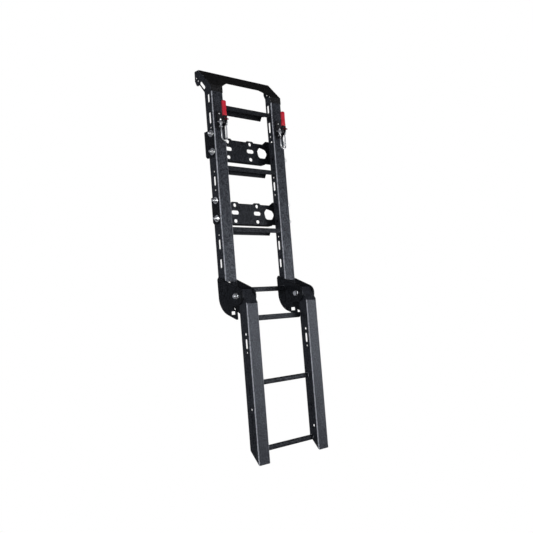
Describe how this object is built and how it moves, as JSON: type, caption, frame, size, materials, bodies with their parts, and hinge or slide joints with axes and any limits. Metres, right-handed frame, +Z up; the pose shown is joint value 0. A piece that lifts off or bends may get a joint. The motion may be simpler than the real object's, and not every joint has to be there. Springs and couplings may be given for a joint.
{
  "type": "folding tailgate ladder",
  "caption": "Hanging folding ladder for a vehicle rear door: channel rails, flat steps, two cross mounting plates, hinged lower ladder and red-gripped toggle latches.",
  "frame": {"origin": "centre of the upper mounting plate, on its rear face that bolts to the door", "axes": "+X to the right as the climber sees it, +Y away from the climber into the vehicle, +Z up"},
  "size_m": [0.4356, 0.219, 1.6045],
  "materials": {
    "powder_coat": "black textured powder coat",
    "powder_coat_head": "black textured powder coat, slightly warmer",
    "zinc": "bright zinc plating",
    "black_steel": "black plated pressed steel",
    "grip_red": "dipped red vinyl",
    "catch_red": "dark red moulded plastic"
  },
  "bodies": {
    "frame": {"head_plate": "powder_coat_head", "step_1": "powder_coat", "step_2": "powder_coat", "step_3": "powder_coat", "hinge_tie_bar": "powder_coat", "upper_mounting_plate": "powder_coat", "lower_mounting_plate": "powder_coat", "left_upper_rail": "powder_coat", "left_inner_hinge_plate": "powder_coat", "left_outer_hinge_plate": "powder_coat", "left_pivot_bolt": "zinc", "left_pivot_nut": "zinc", "left_pivot_bush": "zinc", "left_latch_base": "black_steel", "left_latch_pin": "zinc", "left_bracket_bolt_1": "zinc", "left_bracket_bolt_2": "zinc", "left_bracket_bolt_3": "zinc", "left_bracket_bolt_4": "zinc", "left_bracket_nut_1": "zinc", "left_bracket_nut_2": "zinc", "left_bracket_nut_3": "zinc", "left_bracket_nut_4": "zinc", "right_upper_rail": "powder_coat", "right_inner_hinge_plate": "powder_coat", "right_outer_hinge_plate": "powder_coat", "right_pivot_bolt": "zinc", "right_pivot_nut": "zinc", "right_pivot_bush": "zinc", "right_latch_base": "black_steel", "right_latch_pin": "zinc", "right_bracket_bolt_1": "zinc", "right_bracket_bolt_2": "zinc", "right_bracket_bolt_3": "zinc", "right_bracket_bolt_4": "zinc", "right_bracket_nut_1": "zinc", "right_bracket_nut_2": "zinc", "right_bracket_nut_3": "zinc", "right_bracket_nut_4": "zinc"},
    "lower_ladder": {"left_lower_rail": "powder_coat", "right_lower_rail": "powder_coat", "rung_5": "powder_coat", "rung_6": "powder_coat", "rung_7": "powder_coat", "left_latch_keeper": "black_steel", "right_latch_keeper": "black_steel"},
    "left_handle": {"left_latch_handle": "black_steel", "left_latch_grip": "grip_red"},
    "left_bail": {"left_latch_crosshead": "zinc", "left_latch_bail": "zinc"},
    "left_catch": {"left_latch_catch": "catch_red"},
    "right_handle": {"right_latch_handle": "black_steel", "right_latch_grip": "grip_red"},
    "right_bail": {"right_latch_crosshead": "zinc", "right_latch_bail": "zinc"},
    "right_catch": {"right_latch_catch": "catch_red"}
  },
  "joints": [
    {"name": "lower_fold", "type": "hinge", "parent": "frame", "child": "lower_ladder", "pos_m": [0, -0.132, -0.622], "axis": [-1, 0, 0], "range_deg": [0, 180]},
    {"name": "left_latch_turn", "type": "hinge", "parent": "frame", "child": "left_handle", "pos_m": [-0.1655, -0.078, 0.073], "axis": [1, 0, 0], "range_deg": [0, 90]},
    {"name": "left_bail_hang", "type": "hinge", "parent": "left_handle", "child": "left_bail", "pos_m": [-0.1655, -0.091, 0.087], "axis": [1, 0, 0], "range_deg": [-90, 0]},
    {"name": "left_catch_press", "type": "hinge", "parent": "left_handle", "child": "left_catch", "pos_m": [-0.1655, -0.102, 0.0995], "axis": [1, 0, 0], "range_deg": [0, 15], "stiffness_Nm_per_rad": 0.02},
    {"name": "right_latch_turn", "type": "hinge", "parent": "frame", "child": "right_handle", "pos_m": [0.1655, -0.078, 0.073], "axis": [1, 0, 0], "range_deg": [0, 90]},
    {"name": "right_bail_hang", "type": "hinge", "parent": "right_handle", "child": "right_bail", "pos_m": [0.1655, -0.091, 0.087], "axis": [1, 0, 0], "range_deg": [-90, 0]},
    {"name": "right_catch_press", "type": "hinge", "parent": "right_handle", "child": "right_catch", "pos_m": [0.1655, -0.102, 0.0995], "axis": [1, 0, 0], "range_deg": [0, 15], "stiffness_Nm_per_rad": 0.02}
  ],
  "couplings": [
    {"joint": "left_bail_hang", "follows": "left_latch_turn", "ratio": -1},
    {"joint": "right_bail_hang", "follows": "right_latch_turn", "ratio": -1}
  ]
}
